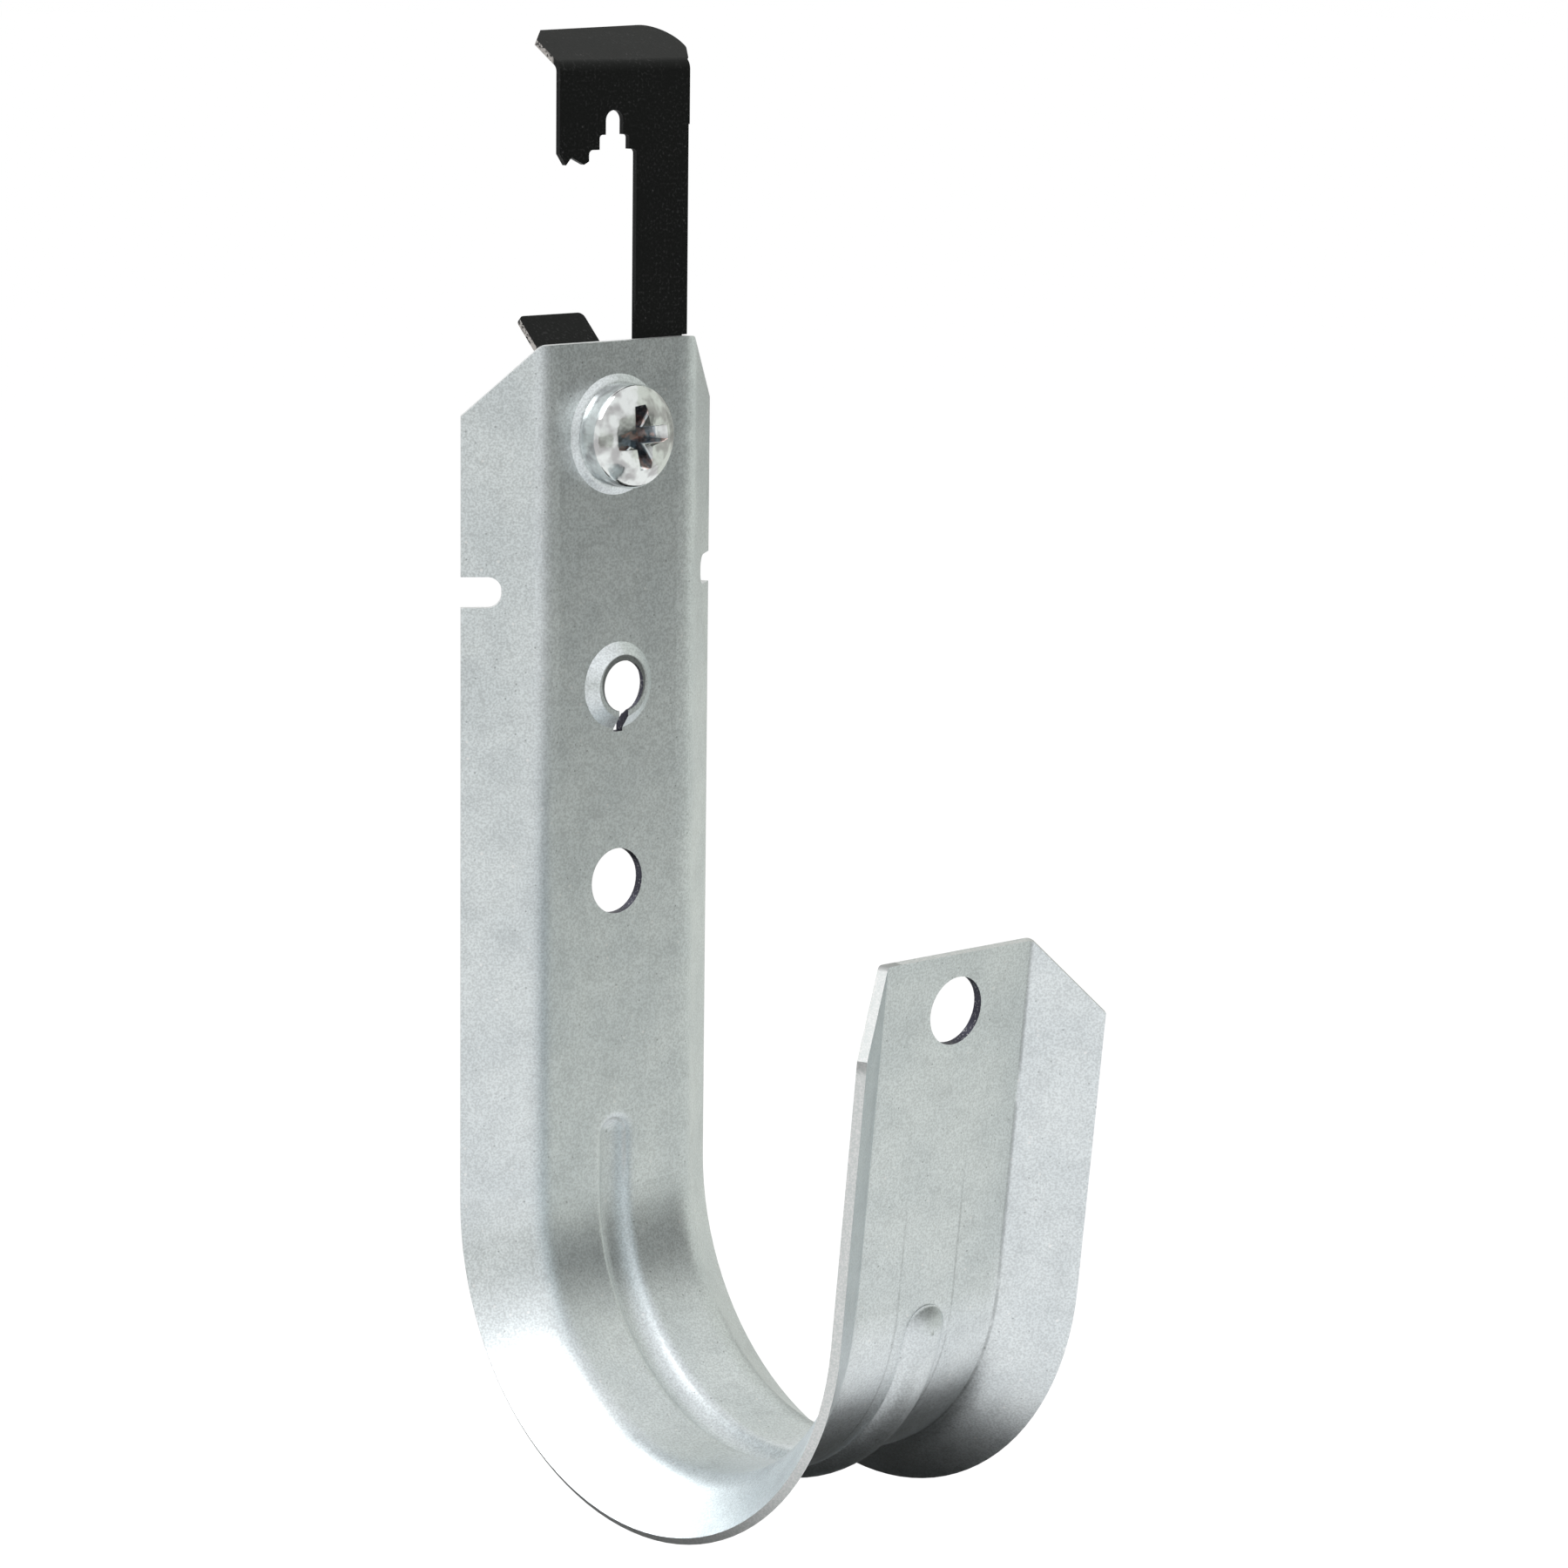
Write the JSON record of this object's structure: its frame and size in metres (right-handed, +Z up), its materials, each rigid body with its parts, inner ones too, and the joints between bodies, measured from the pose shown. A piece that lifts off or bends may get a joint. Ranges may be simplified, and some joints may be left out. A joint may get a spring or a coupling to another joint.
{
  "type": "j hook cable support",
  "caption": "Galvanised steel J hook that carries a bundle of cables, with a black spring clip screwed to the back of its strap for hanging it on a rod or wire.",
  "frame": {"origin": "centre of the fixing hole, on the back face of the strap", "axes": "+Z up along the strap, +X across the hook, +Y out of the back of the strap, away from the cables"},
  "size_m": [0.035, 0.0661, 0.1551],
  "materials": {
    "galvanised_sheet": "pre-galvanised, satin with a fine grain",
    "spring_steel": "black phosphate, dull sheen",
    "zinc_plate": "bright zinc plate"
  },
  "bodies": {
    "root": {"j_hook": "galvanised_sheet", "rod_clip": "spring_steel", "clip_screw": "zinc_plate"}
  },
  "joints": []
}
